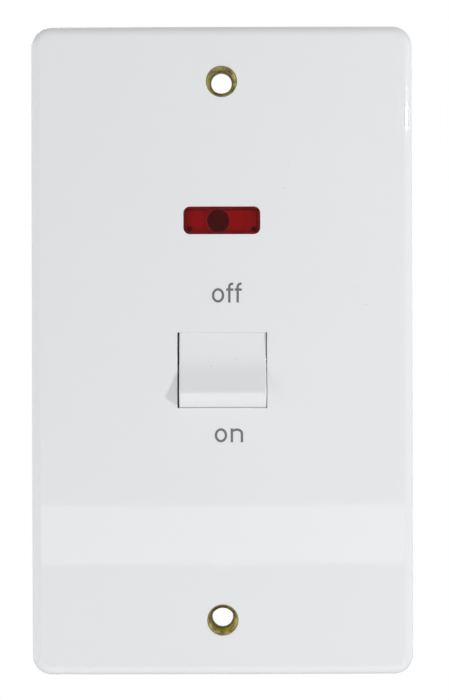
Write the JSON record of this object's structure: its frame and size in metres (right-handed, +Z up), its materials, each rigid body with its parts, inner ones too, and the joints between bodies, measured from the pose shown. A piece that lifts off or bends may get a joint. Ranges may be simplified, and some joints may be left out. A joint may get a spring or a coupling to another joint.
{
  "type": "cooker switch",
  "caption": "Double-pole cooker switch on a tall white moulded plate: white rocker set to off, red neon window above it, brass screw terminals behind.",
  "frame": {"origin": "on the wall plane, midway between the two fixing holes", "axes": "+Z up along the tall side, +X to the right seen from the room, -Y out of the wall towards the room"},
  "size_m": [0.086, 0.0356, 0.146],
  "materials": {
    "white_moulding": "gloss, very slightly warm white",
    "white_rocker": "gloss white",
    "red_lens": "clear red, polished",
    "white_carrier": "satin",
    "lamp_glass": "clear",
    "lamp_nickel": "dull",
    "resistor_body": "lacquered",
    "wire_sleeve": "satin",
    "base_moulding": "satin",
    "zinc_screw": "zinc plated",
    "brass": "satin",
    "brass_screw": "satin",
    "silver_contact": "dull silver",
    "spring_steel": "drawn wire",
    "grey_plunger": "satin"
  },
  "bodies": {
    "plate": {"front_plate": "white_moulding", "fixing_cup_top": "brass", "fixing_cup_bottom": "brass", "neon_lens": "red_lens", "lamp_carrier": "white_carrier", "neon_bulb": "lamp_glass", "neon_electrodes": "lamp_nickel", "dropper_resistor": "resistor_body", "lamp_wire_line": "wire_sleeve", "lamp_wire_neutral": "wire_sleeve", "switch_base": "base_moulding", "base_screw_left": "zinc_screw", "base_screw_right": "zinc_screw", "earth_terminal": "brass", "line_load_terminal": "brass", "line_supply_terminal": "brass", "line_fixed_contact": "brass", "line_fixed_tip": "silver_contact", "line_pivot_bracket": "brass", "neutral_load_terminal": "brass", "neutral_supply_terminal": "brass", "neutral_fixed_contact": "brass", "neutral_fixed_tip": "silver_contact", "neutral_pivot_bracket": "brass"},
    "rocker": {"rocker": "white_rocker", "line_spring": "spring_steel", "neutral_spring": "spring_steel"},
    "line_plunger": {"line_plunger": "grey_plunger"},
    "line_blade": {"line_blade": "brass", "line_moving_tip": "silver_contact"},
    "neutral_plunger": {"neutral_plunger": "grey_plunger"},
    "neutral_blade": {"neutral_blade": "brass", "neutral_moving_tip": "silver_contact"},
    "earth_screw": {"earth_screw": "brass_screw"},
    "line_load_outer_screw": {"line_load_outer_screw": "brass_screw"},
    "line_load_inner_screw": {"line_load_inner_screw": "brass_screw"},
    "line_supply_outer_screw": {"line_supply_outer_screw": "brass_screw"},
    "line_supply_inner_screw": {"line_supply_inner_screw": "brass_screw"},
    "neutral_load_outer_screw": {"neutral_load_outer_screw": "brass_screw"},
    "neutral_load_inner_screw": {"neutral_load_inner_screw": "brass_screw"},
    "neutral_supply_outer_screw": {"neutral_supply_outer_screw": "brass_screw"},
    "neutral_supply_inner_screw": {"neutral_supply_inner_screw": "brass_screw"}
  },
  "joints": [
    {"name": "rocker_tilt", "type": "hinge", "parent": "plate", "child": "rocker", "pos_m": [0, -0.0024, -0.0043], "axis": [1, 0, 0], "range_deg": [0, 25.4]},
    {"name": "line_plunger_slide", "type": "slide", "parent": "rocker", "child": "line_plunger", "axis": [0, -0.9755, 0.2198], "range_m": [0, 0.002], "stiffness_N_per_m": 800, "springref_m": -0.001, "deforming": ["line_spring"]},
    {"name": "line_blade_tilt", "type": "hinge", "parent": "plate", "child": "line_blade", "pos_m": [0.0053, 0.0068, -0.0043], "axis": [1, 0, 0], "range_deg": [-13, 0]},
    {"name": "neutral_plunger_slide", "type": "slide", "parent": "rocker", "child": "neutral_plunger", "axis": [0, -0.9755, 0.2198], "range_m": [0, 0.002], "stiffness_N_per_m": 800, "springref_m": -0.001, "deforming": ["neutral_spring"]},
    {"name": "neutral_blade_tilt", "type": "hinge", "parent": "plate", "child": "neutral_blade", "pos_m": [-0.0053, 0.0068, -0.0043], "axis": [1, 0, 0], "range_deg": [-13, 0]},
    {"name": "earth_screw_travel", "type": "slide", "parent": "plate", "child": "earth_screw", "axis": [0, -1, 0], "range_m": [0, 0.0045]},
    {"name": "line_load_outer_screw_travel", "type": "slide", "parent": "plate", "child": "line_load_outer_screw", "axis": [0, -1, 0], "range_m": [0, 0.0045]},
    {"name": "line_load_inner_screw_travel", "type": "slide", "parent": "plate", "child": "line_load_inner_screw", "axis": [0, -1, 0], "range_m": [0, 0.0045]},
    {"name": "line_supply_outer_screw_travel", "type": "slide", "parent": "plate", "child": "line_supply_outer_screw", "axis": [0, -1, 0], "range_m": [0, 0.0045]},
    {"name": "line_supply_inner_screw_travel", "type": "slide", "parent": "plate", "child": "line_supply_inner_screw", "axis": [0, -1, 0], "range_m": [0, 0.0045]},
    {"name": "neutral_load_outer_screw_travel", "type": "slide", "parent": "plate", "child": "neutral_load_outer_screw", "axis": [0, -1, 0], "range_m": [0, 0.0045]},
    {"name": "neutral_load_inner_screw_travel", "type": "slide", "parent": "plate", "child": "neutral_load_inner_screw", "axis": [0, -1, 0], "range_m": [0, 0.0045]},
    {"name": "neutral_supply_outer_screw_travel", "type": "slide", "parent": "plate", "child": "neutral_supply_outer_screw", "axis": [0, -1, 0], "range_m": [0, 0.0045]},
    {"name": "neutral_supply_inner_screw_travel", "type": "slide", "parent": "plate", "child": "neutral_supply_inner_screw", "axis": [0, -1, 0], "range_m": [0, 0.0045]}
  ],
  "couplings": [
    {"joint": "line_blade_tilt", "follows": "rocker_tilt", "ratio": -0.51181},
    {"joint": "neutral_blade_tilt", "follows": "rocker_tilt", "ratio": -0.51181}
  ]
}
